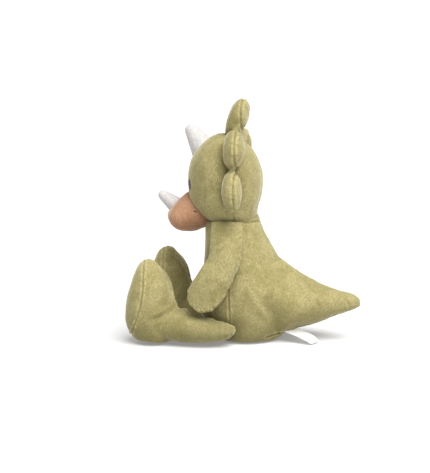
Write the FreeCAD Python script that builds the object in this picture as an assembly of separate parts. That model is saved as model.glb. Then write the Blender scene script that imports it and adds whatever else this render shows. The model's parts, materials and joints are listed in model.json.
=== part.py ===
import FreeCAD, Part
import math
import os

# A seated plush dinosaur with a scalloped frill, one brow horn and one nose horn.
# Millimetres. +Z is up, the toy faces -Y, its left side is +X, and the origin is
# the centre of the flat face that it sits on. Each padded part is a fabric skin
# cut into its sewn panels, round one core of polyester stuffing.

# ---- driving dimensions -------------------------------------------------------
FABRIC = 1.4                 # pile fabric, backing and pile together
CLEARANCE = 0.4              # free gap between two bodies that move on each other

BODY_HEIGHT = 116.0          # seat to the cut top of the body, under the neck
BODY_WIDTH = 92.0
BODY_DEPTH = 96.0            # front to back, without the tail
TAIL_REACH = 110.0           # from the seat's centre back to the tail tip
TAIL_HEIGHT = 69.0           # of the tail where it leaves the body
TAIL_WIDTH = 72.0
TAIL_HINGE_Y = 40.0          # upright axis that the tail swings about
TAIL_HINGE_RADIUS = 32.0

NECK_Y = -14.0
NECK_RADIUS = 19.0           # the neck's ball of stuffing
NECK_RISE = 4.0              # ball centre above the cut top of the body
NECK_GAP = 10.0              # from the cut top of the body up to the head's underside

HEAD_WIDTH = 90.0
HEAD_DEPTH = 76.0
HEAD_HEIGHT = 77.0
HEAD_Y = -23.0

MUZZLE_WIDTH = 54.0
MUZZLE_LENGTH = 52.0
MUZZLE_HEIGHT = 36.0
MUZZLE_DROP = 38.5           # muzzle centre below the head's widest level
MUZZLE_FORWARD = 34.0        # muzzle centre ahead of the head's centre
CHIN_CLEARANCE = 35.0        # neck axis forward to the flat back of the muzzle, under the head

BROW_HORN_BASE = 24.0        # diameter
BROW_HORN_TIP = 9.0
BROW_HORN_LENGTH = 26.0      # from the head's surface to the tip
NOSE_HORN_BASE = 17.0
NOSE_HORN_TIP = 6.0
NOSE_HORN_LENGTH = 22.0
HORN_ROOT = 9.0              # length of a horn's cone that the head shape trims off

FRILL_Y = -10.0              # upright plane of the frill and of the head's side seam
FRILL_THICKNESS = 22.0
FRILL_REACH = 71.0           # head centre to the end of a side lobe
FRILL_TOP_REACH = 75.0       # head centre to the end of the top lobe
LOBE_WIDTH = 46.0
LOBE_LENGTH = 40.0
FRILL_WEB_RADIUS = 54.0      # the padding that joins the lobes, out to the notches
FRILL_WEB_THICKNESS = 13.0
FRILL_WEB_DROP = 31.0        # how far below the head's widest level the web ends
UPPER_LOBE_ANGLE = 33.0      # above level, seen from the front
LOWER_LOBE_ANGLE = -14.0

EYE_WIDTH = 10.0
EYE_HEIGHT = 12.0
EYE_SPACING = 41.0
EYE_DROP = 8.0               # below the head's widest level
THREAD_RELIEF = 0.8          # how far embroidery stands up from the fabric
MOUTH_STITCH = 6.0

ARM_HINGE_X = 34.0           # the shoulder seam runs front to back
ARM_Y = -15.5                # middle of the shoulder seam
ARM_HINGE_DROP = 1.0         # below the cut top of the body
ARM_WIDTH = 33.0
ARM_THICKNESS = 18.0
ARM_LENGTH = 80.0            # shoulder seam down to the paw's lowest point
ARM_SEAM_THICKNESS = 4.0

HIP_X = 47.0                 # upright axis that the leg splays about
HIP_Y = -9.0
HIP_RADIUS = 12.0
THIGH_WIDTH = 39.0
THIGH_HEIGHT = 33.0
FOOT_X = 44.0
FOOT_Y = -88.0               # middle of the foot, front to back
FOOT_HEIGHT = 88.0
FOOT_DEPTH = 56.0
FOOT_WIDTH = 50.0
SOLE_DEPTH = 17.0            # how much of the foot's front the sole panel covers

BAG_RADIUS = 27.0            # pellet bag in the seat
BAG_HEIGHT = 18.0
BAG_CLOTH = 0.6
BAG_FLOOR = 6.0              # bag's underside above the seat

LABEL_LENGTH = 27.0
LABEL_WIDTH = 15.0
LABEL_THICKNESS = 0.6
LABEL_STAND_OFF = 0.6        # from the body's underside to the start of the label
LABEL_FLOOR = 1.4            # height of the label's free end

# ---- worked out from them -----------------------------------------------------
OVERSIZE = 1000.0            # a cutting block that covers the whole toy from the origin
NECK_Z = BODY_HEIGHT + NECK_RISE
HEAD_BASE = BODY_HEIGHT + NECK_GAP
HEAD_LEVEL = HEAD_BASE + 0.47 * HEAD_HEIGHT
BELLY_SEAM_Y = HIP_Y - 3.0
SEAT_SEAM_Z = 6.0
CHIN_OVERLAP = 6.0           # the muzzle's flat back runs this far up inside the head
LABEL_ROOT = FreeCAD.Vector(0.30 * TAIL_WIDTH + LABEL_STAND_OFF, TAIL_HINGE_Y - 1.0, 0.14 * TAIL_HEIGHT)


# ---- helpers -------------------------------------------------------------------
def oval(center, across, up, half_across, half_up, count=16):
    """A closed smooth oval wire round center, in the plane of two unit vectors."""
    points = []
    for index in range(count):
        angle = 2 * math.pi * index / count
        points.append(center + across * (half_across * math.cos(angle)) + up * (half_up * math.sin(angle)))
    curve = Part.BSplineCurve()
    curve.interpolate(Points=points, PeriodicFlag=True)
    return Part.Wire([curve.toShape()])


def loft(wires):
    return Part.makeLoft(wires, True, False)


def standing_loft(stations, inset=0.0, x=0.0):
    """Level ovals stacked upwards: each station is z, y, half width, half depth."""
    last = len(stations) - 1
    wires = []
    for index, (z, y, half_width, half_depth) in enumerate(stations):
        shift = inset if index == 0 else -inset if index == last else 0.0
        wires.append(oval(FreeCAD.Vector(x, y, z + shift), FreeCAD.Vector(1, 0, 0), FreeCAD.Vector(0, 1, 0),
                          half_width - inset, half_depth - inset))
    return loft(wires)


def lying_loft(stations, inset=0.0):
    """Upright ovals set one behind another: each station is y, x, z, half width, half height."""
    last = len(stations) - 1
    wires = []
    for index, (y, x, z, half_width, half_height) in enumerate(stations):
        shift = inset if index == 0 else -inset if index == last else 0.0
        if stations[0][0] > stations[last][0]:
            shift = -shift
        wires.append(oval(FreeCAD.Vector(x, y + shift, z), FreeCAD.Vector(1, 0, 0), FreeCAD.Vector(0, 0, 1),
                          half_width - inset, half_height - inset))
    return loft(wires)


def ellipsoid(center, radii):
    """An ellipsoid whose radii lie along X, Y and Z."""
    ball = Part.makeSphere(1.0)
    ball.rotate(FreeCAD.Vector(0, 0, 0), FreeCAD.Vector(1, 0, 0), 90)
    matrix = FreeCAD.Matrix()
    matrix.scale(*radii)
    shape = ball.transformGeometry(matrix)
    shape.translate(center)
    return shape


def beyond(axis, value, side):
    """A block that covers everything on one side of a plane across X, Y or Z."""
    corner = [-OVERSIZE / 2, -OVERSIZE / 2, -OVERSIZE / 2]
    corner["XYZ".index(axis)] = value if side > 0 else value - OVERSIZE
    return Part.makeBox(OVERSIZE, OVERSIZE, OVERSIZE, FreeCAD.Vector(*corner))


def kept(shape, axis, value, side):
    """The part of a shape on one side of a plane across X, Y or Z."""
    return shape.common(beyond(axis, value, side))


def upright_cylinder(x, y, radius):
    return Part.makeCylinder(radius, OVERSIZE, FreeCAD.Vector(x, y, -OVERSIZE / 2))


def neck_ball(clearance):
    return Part.makeSphere(NECK_RADIUS + clearance, FreeCAD.Vector(0, NECK_Y, NECK_Z))


def mirrored(shape):
    return shape.mirror(FreeCAD.Vector(0, 0, 0), FreeCAD.Vector(1, 0, 0))


def largest(shape):
    """The largest solid of a cut shape, without stray chips."""
    return max(shape.Solids, key=lambda solid: solid.Volume)


def export(name, shape):
    shape.exportStep(os.path.join("parts", name + ".step"))


# ---- legs ----------------------------------------------------------------------
def leg_outline(inset):
    """Thigh lying on the floor, and the foot turned up at its end."""
    half_width = THIGH_WIDTH / 2
    half_height = THIGH_HEIGHT / 2
    hip_width = HIP_RADIUS
    lean = FOOT_X - HIP_X
    run = FOOT_Y - HIP_Y
    thigh = lying_loft([
        (HIP_Y + 0.55 * HIP_RADIUS, HIP_X, 0.9 * half_height, 0.60 * hip_width, 0.32 * half_height),
        (HIP_Y, HIP_X, 0.92 * half_height, hip_width, 0.62 * half_height),
        (HIP_Y + 0.28 * run, HIP_X + 0.28 * lean, 0.96 * half_height, 0.88 * half_width, 0.88 * half_height),
        (HIP_Y + 0.60 * run, HIP_X + 0.60 * lean, 1.03 * half_height, half_width, 1.02 * half_height),
        (HIP_Y + 0.95 * run, HIP_X + 0.95 * lean, 1.15 * half_height, 0.85 * half_width, 0.85 * half_height),
    ], inset)
    width = FOOT_WIDTH / 2
    depth = FOOT_DEPTH / 2
    foot = standing_loft([
        (0.3, FOOT_Y + 3.0, 0.52 * width, 0.62 * depth),
        (0.08 * FOOT_HEIGHT, FOOT_Y + 1.0, 0.80 * width, 0.87 * depth),
        (0.30 * FOOT_HEIGHT, FOOT_Y - 1.5, 0.98 * width, depth),
        (0.52 * FOOT_HEIGHT, FOOT_Y - 2.5, width, 0.90 * depth),
        (0.74 * FOOT_HEIGHT, FOOT_Y - 1.0, 0.92 * width, 0.72 * depth),
        (0.92 * FOOT_HEIGHT, FOOT_Y - 2.5, 0.66 * width, 0.48 * depth),
        (FOOT_HEIGHT, FOOT_Y - 3.0, 0.16 * width, 0.12 * depth),
    ], inset, FOOT_X)
    return thigh.fuse(foot)


def sole_block(side):
    """Covers one side of the sole's seam, a plane that leans back with the toes."""
    lean = 13.0
    front = FOOT_Y - FOOT_DEPTH / 2
    block = beyond("Y", front + SOLE_DEPTH, side)
    block.rotate(FreeCAD.Vector(0, front + SOLE_DEPTH, 0.4 * FOOT_HEIGHT), FreeCAD.Vector(1, 0, 0), lean)
    return block


def build_leg():
    outer = leg_outline(0.0)
    core = leg_outline(FABRIC)
    skin = outer.cut(core)
    upper = skin.common(sole_block(1))
    return {
        "leg_left_outer": largest(kept(upper, "X", FOOT_X, 1)),
        "leg_left_inner": largest(kept(upper, "X", FOOT_X, -1)),
        "leg_left_sole": largest(skin.common(sole_block(-1))),
        "leg_left_stuffing": largest(core),
    }


def leg_clearance(extra):
    """Room that both resting legs, and their round hips as they splay, take from the body."""
    left = leg_outline(-extra)
    hip = Part.makeCylinder(HIP_RADIUS + extra, 1.9 * THIGH_HEIGHT / 2 + 2 * extra,
                            FreeCAD.Vector(HIP_X, HIP_Y, -extra))
    left = left.fuse(hip)
    return left.fuse(mirrored(left))


# ---- arms ----------------------------------------------------------------------
def arm_outline(inset):
    """A flat padded arm that hangs from its straight shoulder seam and bends forward."""
    top = BODY_HEIGHT - ARM_HINGE_DROP
    half_width = ARM_WIDTH / 2
    half_thick = ARM_THICKNESS / 2
    seam = ARM_SEAM_THICKNESS / 2
    # share of the length, forward shift, outward shift, width share, thickness, forward tilt
    stations = [
        (0.00, 0.0, 0.0, 0.96, seam, 0.0),
        (0.10, 0.0, 4.0, 0.98, 0.55 * half_thick, 0.0),
        (0.25, 0.0, 10.0, 1.00, 0.88 * half_thick, 2.0),
        (0.42, 1.5, 15.5, 1.02, half_thick, 12.0),
        (0.62, 9.0, 19.5, 1.12, half_thick, 28.0),
        (0.79, 18.5, 22.0, 1.14, 0.92 * half_thick, 36.0),
        (0.92, 26.0, 23.0, 0.84, 0.66 * half_thick, 38.0),
        (0.985, 30.0, 23.4, 0.30, 0.25 * half_thick, 38.0),
    ]
    last = len(stations) - 1
    wires = []
    for index, (share, forward, outward, width, thick, tilt) in enumerate(stations):
        angle = math.radians(tilt)
        along = FreeCAD.Vector(0, -math.sin(angle), -math.cos(angle))
        across = FreeCAD.Vector(0, math.cos(angle), -math.sin(angle))
        shift = inset if index == 0 else -inset if index == last else 0.0
        middle = FreeCAD.Vector(ARM_HINGE_X + outward, ARM_Y - forward, top - share * ARM_LENGTH)
        wires.append(oval(middle + along * shift, across, FreeCAD.Vector(1, 0, 0),
                          max(width * half_width - inset, 1.5), max(thick - inset, 0.5)))
    return loft(wires)


def arm_side(side):
    """Everything outside or inside the sloping plane that the arm's edge seam lies in."""
    slope = 17.0
    block = beyond("X", 0.0, side)
    block.rotate(FreeCAD.Vector(0, 0, 0), FreeCAD.Vector(0, 1, 0), -slope)
    block.translate(FreeCAD.Vector(ARM_HINGE_X + 0.6, 0, BODY_HEIGHT - ARM_HINGE_DROP))
    return block


def build_arm():
    outer = arm_outline(0.0)
    core = arm_outline(FABRIC)
    skin = outer.cut(core)
    return {
        "arm_left_outer": largest(skin.common(arm_side(1))),
        "arm_left_inner": largest(skin.common(arm_side(-1))),
        "arm_left_stuffing": largest(core),
    }


# ---- body and tail -------------------------------------------------------------
def torso_outline(inset):
    width = BODY_WIDTH / 2
    depth = BODY_DEPTH / 2
    return standing_loft([
        (0.0, 0.0, 0.72 * width, 0.69 * depth),
        (0.07 * BODY_HEIGHT, -2.0, 0.91 * width, 0.87 * depth),
        (0.22 * BODY_HEIGHT, -3.0, width, depth),
        (0.43 * BODY_HEIGHT, -4.5, 0.98 * width, 0.97 * depth),
        (0.60 * BODY_HEIGHT, -4.5, 0.91 * width, 0.86 * depth),
        (0.76 * BODY_HEIGHT, -9.5, 0.81 * width, 0.725 * depth),
        (0.90 * BODY_HEIGHT, -14.0, 0.72 * width, 0.625 * depth),
        (BODY_HEIGHT, NECK_Y - 2.3, 0.65 * width, 0.57 * depth),
    ], inset)


def tail_outline(inset):
    """From inside the body back to the blunt tip; its top slopes down to the tip."""
    width = TAIL_WIDTH / 2
    height = TAIL_HEIGHT / 2
    root = 25.0
    run = TAIL_REACH - root
    level = 0.53 * TAIL_HEIGHT
    return lying_loft([
        (root, 0, level + 4.0, 1.05 * width, 1.08 * height),
        (root + 0.18 * run, 0, level + 1.6, width, height),
        (root + 0.33 * run, 0, level, 0.84 * width, 0.81 * height),
        (root + 0.51 * run, 0, level - 0.5, 0.68 * width, 0.65 * height),
        (root + 0.70 * run, 0, level, 0.51 * width, 0.49 * height),
        (root + 0.86 * run, 0, level + 0.8, 0.33 * width, 0.31 * height),
        (root + 0.96 * run, 0, level + 2.0, 0.17 * width, 0.16 * height),
        (root + run, 0, level + 2.4, 0.06 * width, 0.06 * height),
    ], inset)


def tail_room(inset):
    """What the body gives up behind the hinge so that the tail root can swing."""
    start = TAIL_HINGE_Y + 0.25 * TAIL_HINGE_RADIUS
    return beyond("Y", start - inset, 1).cut(upright_cylinder(0, TAIL_HINGE_Y, TAIL_HINGE_RADIUS - inset))


def tail_trim(extra):
    """What the tail gives up in front of its root and round the hinge."""
    start = TAIL_HINGE_Y + 0.62 * TAIL_HINGE_RADIUS
    hinge = upright_cylinder(0, TAIL_HINGE_Y, TAIL_HINGE_RADIUS + CLEARANCE + extra)
    return beyond("Y", start + extra, -1).fuse(hinge)


def body_outline(inset):
    shape = torso_outline(inset).fuse(tail_outline(inset))
    shape = shape.cut(tail_room(inset))
    shape = shape.cut(neck_ball(CLEARANCE + inset))
    return shape.cut(leg_clearance(CLEARANCE + inset))


def pellet_bag_outline(inset):
    top = BAG_FLOOR + BAG_HEIGHT
    radius = BAG_RADIUS
    return standing_loft([
        (BAG_FLOOR, 0.0, 0.62 * radius, 0.62 * radius),
        (BAG_FLOOR + 0.3 * BAG_HEIGHT, 0.0, 0.95 * radius, 0.95 * radius),
        (BAG_FLOOR + 0.6 * BAG_HEIGHT, 0.0, 0.95 * radius, 0.95 * radius),
        (top, 0.0, 0.55 * radius, 0.55 * radius),
    ], inset)


def build_body():
    outer = body_outline(0.0)
    core = body_outline(FABRIC)
    skin = outer.cut(core)
    upper = kept(skin, "Z", SEAT_SEAM_Z, 1)
    sides = kept(upper, "Y", BELLY_SEAM_Y, 1)
    bag = pellet_bag_outline(0.0)
    return {
        "seat_panel": largest(kept(skin, "Z", SEAT_SEAM_Z, -1)),
        "belly_panel": largest(kept(upper, "Y", BELLY_SEAM_Y, -1)),
        "body_side_left": largest(kept(sides, "X", 0.0, 1)),
        "body_side_right": largest(kept(sides, "X", 0.0, -1)),
        "body_stuffing": largest(core.cut(bag)),
        "pellet_bag": bag.cut(pellet_bag_outline(BAG_CLOTH)),
        "bean_pellets": pellet_bag_outline(BAG_CLOTH),
    }


def build_tail():
    outer = tail_outline(0.0).cut(tail_trim(0.0))
    core = tail_outline(FABRIC).cut(tail_trim(FABRIC))
    skin = outer.cut(core)
    return {
        "tail_side_left": largest(kept(skin, "X", 0.0, 1)),
        "tail_side_right": largest(kept(skin, "X", 0.0, -1)),
        "tail_stuffing": largest(core),
    }


def build_label():
    """A woven ribbon, sewn in aslant under the tail, that trails back and turns flat on the floor."""
    seam = FreeCAD.Vector(-0.49 * LABEL_WIDTH, 0.97 * LABEL_WIDTH, 0.09 * LABEL_WIDTH)
    near_edge = FreeCAD.Vector(0.29 * LABEL_LENGTH, LABEL_LENGTH, 0)
    far_edge = FreeCAD.Vector(0.09 * LABEL_LENGTH, 0.72 * LABEL_LENGTH, 0)
    root = [LABEL_ROOT, LABEL_ROOT + seam]
    end = [root[0] + near_edge, root[1] + far_edge]
    end[0].z = LABEL_FLOOR
    end[1].z = LABEL_FLOOR
    rise = FreeCAD.Vector(0, 0, LABEL_THICKNESS)
    outlines = []
    for first, second in (root, end):
        outlines.append(Part.makePolygon([first, second, second + rise, first + rise, first]))
    return Part.makeLoft(outlines, True, True)


# ---- head ----------------------------------------------------------------------
def head_outline(inset):
    width = HEAD_WIDTH / 2
    depth = HEAD_DEPTH / 2
    shape = standing_loft([
        (HEAD_BASE, HEAD_Y + 4.0, 0.66 * width, 0.70 * depth),
        (HEAD_BASE + 0.09 * HEAD_HEIGHT, HEAD_Y + 2.0, 0.84 * width, 0.85 * depth),
        (HEAD_BASE + 0.27 * HEAD_HEIGHT, HEAD_Y, 0.96 * width, 0.95 * depth),
        (HEAD_LEVEL, HEAD_Y, width, depth),
        (HEAD_BASE + 0.70 * HEAD_HEIGHT, HEAD_Y, 0.91 * width, 0.91 * depth),
        (HEAD_BASE + 0.88 * HEAD_HEIGHT, HEAD_Y - 0.5, 0.67 * width, 0.67 * depth),
        (HEAD_BASE + 0.97 * HEAD_HEIGHT, HEAD_Y - 1.0, 0.36 * width, 0.36 * depth),
        (HEAD_BASE + HEAD_HEIGHT, HEAD_Y - 1.0, 0.12 * width, 0.12 * depth),
    ], inset)
    return shape.cut(neck_ball(CLEARANCE + inset))


def muzzle_outline(inset):
    """A rounded snout whose chin stops short of the chest, so that the head can nod and turn."""
    center = FreeCAD.Vector(0, HEAD_Y - MUZZLE_FORWARD, HEAD_LEVEL - MUZZLE_DROP)
    radii = (MUZZLE_WIDTH / 2 - inset, MUZZLE_LENGTH / 2 - inset, MUZZLE_HEIGHT / 2 - inset)
    chest_room = beyond("Y", NECK_Y - CHIN_CLEARANCE - inset, 1)
    return ellipsoid(center, radii).cut(kept(chest_room, "Z", HEAD_BASE + CHIN_OVERLAP, -1))


def horn(foot, pitch, base, tip, length, inset):
    """A round-ended cone. pitch is its angle above level, pointing forward."""
    whole = length + HORN_ROOT
    flare = (base - tip) / 2 / length
    root_radius = base / 2 + flare * HORN_ROOT - inset
    tip_radius = tip / 2 - inset
    straight = whole - tip / 2
    cone = Part.makeCone(root_radius, tip_radius, straight)
    cap = Part.makeSphere(tip_radius, FreeCAD.Vector(0, 0, straight))
    shape = cone.fuse(cap)
    shape.translate(FreeCAD.Vector(0, 0, -HORN_ROOT))
    shape.rotate(FreeCAD.Vector(0, 0, 0), FreeCAD.Vector(1, 0, 0), 90 - pitch)
    shape.translate(foot)
    return shape


def brow_horn(inset):
    """Its foot sits on the forehead, where the head is narrowing towards its top."""
    foot = FreeCAD.Vector(0, HEAD_Y - 0.66 * HEAD_DEPTH / 2, HEAD_BASE + 0.83 * HEAD_HEIGHT)
    return horn(foot, 60.0, BROW_HORN_BASE, BROW_HORN_TIP, BROW_HORN_LENGTH, inset)


def nose_horn(inset):
    """Its foot sits on the upper front of the muzzle."""
    foot = FreeCAD.Vector(0, HEAD_Y - MUZZLE_FORWARD - 0.62 * MUZZLE_LENGTH / 2,
                          HEAD_LEVEL - MUZZLE_DROP + 0.55 * MUZZLE_HEIGHT / 2)
    return horn(foot, 38.0, NOSE_HORN_BASE, NOSE_HORN_TIP, NOSE_HORN_LENGTH, inset)


def lobe(out, reach, inset):
    """One padded lobe of the frill: thin ovals at its root and tip, the widest in the middle."""
    middle = FreeCAD.Vector(0, FRILL_Y, HEAD_LEVEL) + out * (reach - LOBE_LENGTH / 2)
    through = FreeCAD.Vector(0, 1, 0)
    wires = []
    for share in (-0.97, -0.8, -0.45, 0.0, 0.45, 0.8, 0.97):
        size = math.sqrt(1 - share * share)
        wires.append(oval(middle + out * (share * (LOBE_LENGTH / 2 - inset)), out.cross(through), through,
                          size * (LOBE_WIDTH / 2 - inset), size * (FRILL_THICKNESS / 2 - inset)))
    return loft(wires)


def frill_outline(inset):
    """Five padded lobes that fan out from the head's side seam, joined by a flat padded disc."""
    half_web = FRILL_WEB_THICKNESS / 2 - inset
    shape = Part.makeCylinder(FRILL_WEB_RADIUS - inset, 2 * half_web,
                              FreeCAD.Vector(0, FRILL_Y - half_web, HEAD_LEVEL), FreeCAD.Vector(0, 1, 0))
    rims = [edge for edge in shape.Edges if isinstance(edge.Curve, Part.Circle)]
    shape = kept(shape.makeFillet(0.8 * half_web, rims), "Z", HEAD_LEVEL - FRILL_WEB_DROP + inset, 1)
    side_lobes = (LOWER_LOBE_ANGLE, UPPER_LOBE_ANGLE, 180 - UPPER_LOBE_ANGLE, 180 - LOWER_LOBE_ANGLE)
    for angle in side_lobes + (90.0,):
        turn = math.radians(angle)
        reach = FRILL_TOP_REACH if angle == 90.0 else FRILL_REACH
        shape = shape.fuse(lobe(FreeCAD.Vector(math.cos(turn), 0, math.sin(turn)), reach, inset))
    return shape


def eye(side):
    column = Part.makeCylinder(1.0, OVERSIZE, FreeCAD.Vector(0, 0, 0), FreeCAD.Vector(0, -1, 0))
    matrix = FreeCAD.Matrix()
    matrix.scale(EYE_WIDTH / 2, 1.0, EYE_HEIGHT / 2)
    column = column.transformGeometry(matrix)
    column.translate(FreeCAD.Vector(side * EYE_SPACING / 2, HEAD_Y, HEAD_LEVEL - EYE_DROP))
    relief = head_outline(-THREAD_RELIEF).cut(head_outline(0.0))
    return largest(relief.common(column))


def mouth_stitches():
    """One short satin stitch at each rear corner of the muzzle, level with its middle."""
    center_y = HEAD_Y - MUZZLE_FORWARD + 0.1 * MUZZLE_LENGTH
    bar = Part.makeBox(OVERSIZE, MOUTH_STITCH, 1.2,
                       FreeCAD.Vector(-OVERSIZE / 2, center_y, HEAD_LEVEL - MUZZLE_DROP + 2.0))
    relief = muzzle_outline(-THREAD_RELIEF).cut(muzzle_outline(0.0)).cut(head_outline(-THREAD_RELIEF))
    return relief.common(bar)


def build_head():
    head = head_outline(0.0)
    core = head_outline(FABRIC)
    skin = head.cut(core)
    face = kept(skin, "Y", FRILL_Y, -1)
    back = kept(skin, "Y", FRILL_Y, 1)
    muzzle = muzzle_outline(0.0).cut(head)
    muzzle_core = muzzle_outline(FABRIC).cut(head)
    face_and_muzzle = head.fuse(muzzle_outline(0.0))
    frill = frill_outline(0.0).cut(head)
    frill_core = frill_outline(FABRIC).cut(head)
    frill_skin = frill.cut(frill_core)
    brow = brow_horn(0.0).cut(head)
    brow_core = brow_horn(FABRIC).cut(head)
    nose = nose_horn(0.0).cut(face_and_muzzle)
    nose_core = nose_horn(FABRIC).cut(face_and_muzzle)
    return {
        "head_face_left": largest(kept(face, "X", 0.0, 1)),
        "head_face_right": largest(kept(face, "X", 0.0, -1)),
        "head_back_left": largest(kept(back, "X", 0.0, 1)),
        "head_back_right": largest(kept(back, "X", 0.0, -1)),
        "head_stuffing": largest(core),
        "muzzle_skin": largest(muzzle.cut(muzzle_core)),
        "muzzle_stuffing": largest(muzzle_core),
        "brow_horn_skin": largest(brow.cut(brow_core)),
        "brow_horn_stuffing": largest(brow_core),
        "nose_horn_skin": largest(nose.cut(nose_core)),
        "nose_horn_stuffing": largest(nose_core),
        "frill_front": largest(kept(frill_skin, "Y", FRILL_Y, -1)),
        "frill_back": largest(kept(frill_skin, "Y", FRILL_Y, 1)),
        "frill_stuffing": largest(frill_core),
        "eye_left": eye(1),
        "eye_right": eye(-1),
        "mouth_stitches": mouth_stitches(),
    }


# ---- build and export -----------------------------------------------------------
def main():
    os.makedirs("parts", exist_ok=True)
    nodes = {}
    nodes.update(build_body())
    nodes.update(build_tail())
    nodes["sewn_label"] = build_label()
    nodes["neck_stuffing"] = neck_ball(0.0)
    nodes.update(build_head())
    for limb in (build_arm(), build_leg()):
        for name, shape in limb.items():
            nodes[name] = shape
            nodes[name.replace("_left", "_right")] = mirrored(shape)
    for name, shape in nodes.items():
        export(name, shape)
        print(name, len(shape.Solids), round(shape.Volume), shape.isValid())


main()
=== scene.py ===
# %% [markdown]
# # A seated plush dinosaur
# The toy is sewn from short-pile fabric and filled with fibre. A sewn toy gets its shape from three
# things: the outline of its panels, the pressure of the filling, and the seams, which stay short while
# the panels swell. The large padded pieces go through the same three steps: rough form, inflation by
# cloth simulation, and then sewing, which pulls the seam lines in and gathers the fabric beside them.
# The muzzle and the horns are small and firm, so they go from the rough form straight to the sewing.

# %% Load the measured frame
import json
import math
import bpy
import numpy as np
from mathutils import Matrix, Vector, noise


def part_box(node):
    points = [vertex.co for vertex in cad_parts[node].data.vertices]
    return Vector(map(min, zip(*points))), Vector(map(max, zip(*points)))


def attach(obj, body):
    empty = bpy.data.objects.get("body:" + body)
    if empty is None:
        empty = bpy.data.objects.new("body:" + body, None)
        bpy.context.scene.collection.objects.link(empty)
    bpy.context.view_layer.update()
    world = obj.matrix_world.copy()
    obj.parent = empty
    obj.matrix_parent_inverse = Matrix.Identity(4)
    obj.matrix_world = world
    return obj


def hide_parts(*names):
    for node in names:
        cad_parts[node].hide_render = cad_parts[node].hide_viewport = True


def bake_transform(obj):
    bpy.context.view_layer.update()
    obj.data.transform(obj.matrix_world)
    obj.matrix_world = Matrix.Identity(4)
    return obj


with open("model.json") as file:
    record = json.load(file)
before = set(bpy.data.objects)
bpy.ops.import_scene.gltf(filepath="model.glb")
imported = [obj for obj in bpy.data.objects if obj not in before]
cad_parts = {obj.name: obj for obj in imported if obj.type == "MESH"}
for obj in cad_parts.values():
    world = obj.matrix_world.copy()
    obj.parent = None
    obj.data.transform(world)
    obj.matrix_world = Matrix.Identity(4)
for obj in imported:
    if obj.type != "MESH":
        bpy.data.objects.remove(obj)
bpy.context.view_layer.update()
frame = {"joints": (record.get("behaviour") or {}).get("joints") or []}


# %% [markdown]
# ## Sizes taken from the frame
# The pieces are laid out in millimetres of the toy, and that millimetre is measured from the frame's own
# trunk. `Box` holds the low and high corners around one or more nodes of the frame, for the few places
# that a seam, a joint or a stitch has to line up with.

# %% Boxes of the main parts
class Box:
    def __init__(self, *nodes):
        corners = [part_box(node) for node in nodes]
        self.low = Vector([min(low[i] for low, high in corners) for i in range(3)])
        self.high = Vector([max(high[i] for low, high in corners) for i in range(3)])
        self.size = self.high - self.low
        self.middle = (self.low + self.high) / 2


trunk = Box("belly_panel", "seat_panel", "body_side_left", "body_side_right")
head = Box("head_face_left", "head_face_right", "head_back_left", "head_back_right")
frill = Box("frill_front", "frill_back")
arm = Box("arm_left_outer", "arm_left_inner")
leg = Box("leg_left_outer", "leg_left_inner", "leg_left_sole")
joint = {entry["name"]: entry for entry in frame["joints"]}

# One millimetre of the toy, from the trunk's height between the seat and the neck.
TRUNK_HEIGHT = 116
MM = trunk.high.z / TRUNK_HEIGHT
print("trunk", trunk.size[:], "head", head.size[:], "leg", leg.size[:])


# %% [markdown]
# ## Hand tools
# The rough forms are stacks of rings: a circle is added, squeezed to an oval, and then extruded and
# resized again and again, the way a vase is drawn out of a lump of clay. `stack_rings` does that with
# the same operators as the keys E and S in edit mode.

# %% Selecting and stacking
def only(piece):
    if bpy.context.mode != "OBJECT":
        bpy.ops.object.mode_set(mode="OBJECT")
    bpy.ops.object.select_all(action="DESELECT")
    piece.select_set(True)
    bpy.context.view_layer.objects.active = piece


def settle(piece):
    """Puts the piece's place, turn and scale into its mesh."""
    only(piece)
    bpy.ops.object.transform_apply(location=True, rotation=True, scale=True)


def stack_rings(name, rings, lying=False, sides=40):
    """rings: (centre, half width along X, other half size). Upright stacks spread in Y, lying ones in Z."""
    bpy.ops.object.select_all(action="DESELECT")
    centre, wide, other = rings[0]
    turn = (math.pi / 2, 0, 0) if lying else (0, 0, 0)
    bpy.ops.mesh.primitive_circle_add(vertices=sides, radius=1, fill_type="NGON",
                                      location=centre, rotation=turn)
    piece = bpy.context.object
    piece.name = name
    settle(piece)
    bpy.ops.object.mode_set(mode="EDIT")
    bpy.ops.mesh.select_all(action="SELECT")
    shape = (wide, 1, other) if lying else (wide, other, 1)
    bpy.ops.transform.resize(value=shape, center_override=centre)
    for next_centre, next_wide, next_other in rings[1:]:
        step = next_centre - centre
        bpy.ops.mesh.extrude_region_move(TRANSFORM_OT_translate={"value": step})
        ratios = (next_wide / wide, next_other / other)
        shape = (ratios[0], 1, ratios[1]) if lying else (ratios[0], ratios[1], 1)
        bpy.ops.transform.resize(value=shape, center_override=next_centre)
        centre, wide, other = next_centre, next_wide, next_other
    bpy.ops.mesh.select_all(action="SELECT")
    bpy.ops.mesh.normals_make_consistent(inside=False)
    bpy.ops.object.mode_set(mode="OBJECT")
    return piece


def ring(level, front, back, half_width, x=0.0):
    """A level oval given by its height, its front and back edges and its half width, in mm."""
    return Vector((x * MM, (front + back) / 2 * MM, level * MM)), half_width * MM, (back - front) / 2 * MM


def at_mm(x, y, z):
    return Vector((x, y, z)) * MM


def hoop(y, top, bottom, half_width, x=0.0):
    """An upright oval given by its place along Y, its top and bottom and its half width, in mm."""
    return Vector((x * MM, y * MM, (top + bottom) / 2 * MM)), half_width * MM, (top - bottom) / 2 * MM


def joined(name, pieces):
    only(pieces[0])
    for piece in pieces[1:]:
        piece.select_set(True)
    bpy.ops.object.join()
    pieces[0].name = name
    return pieces[0]


def apply_all(piece):
    only(piece)
    for modifier in list(piece.modifiers):
        bpy.ops.object.modifier_apply(modifier=modifier.name)


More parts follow.
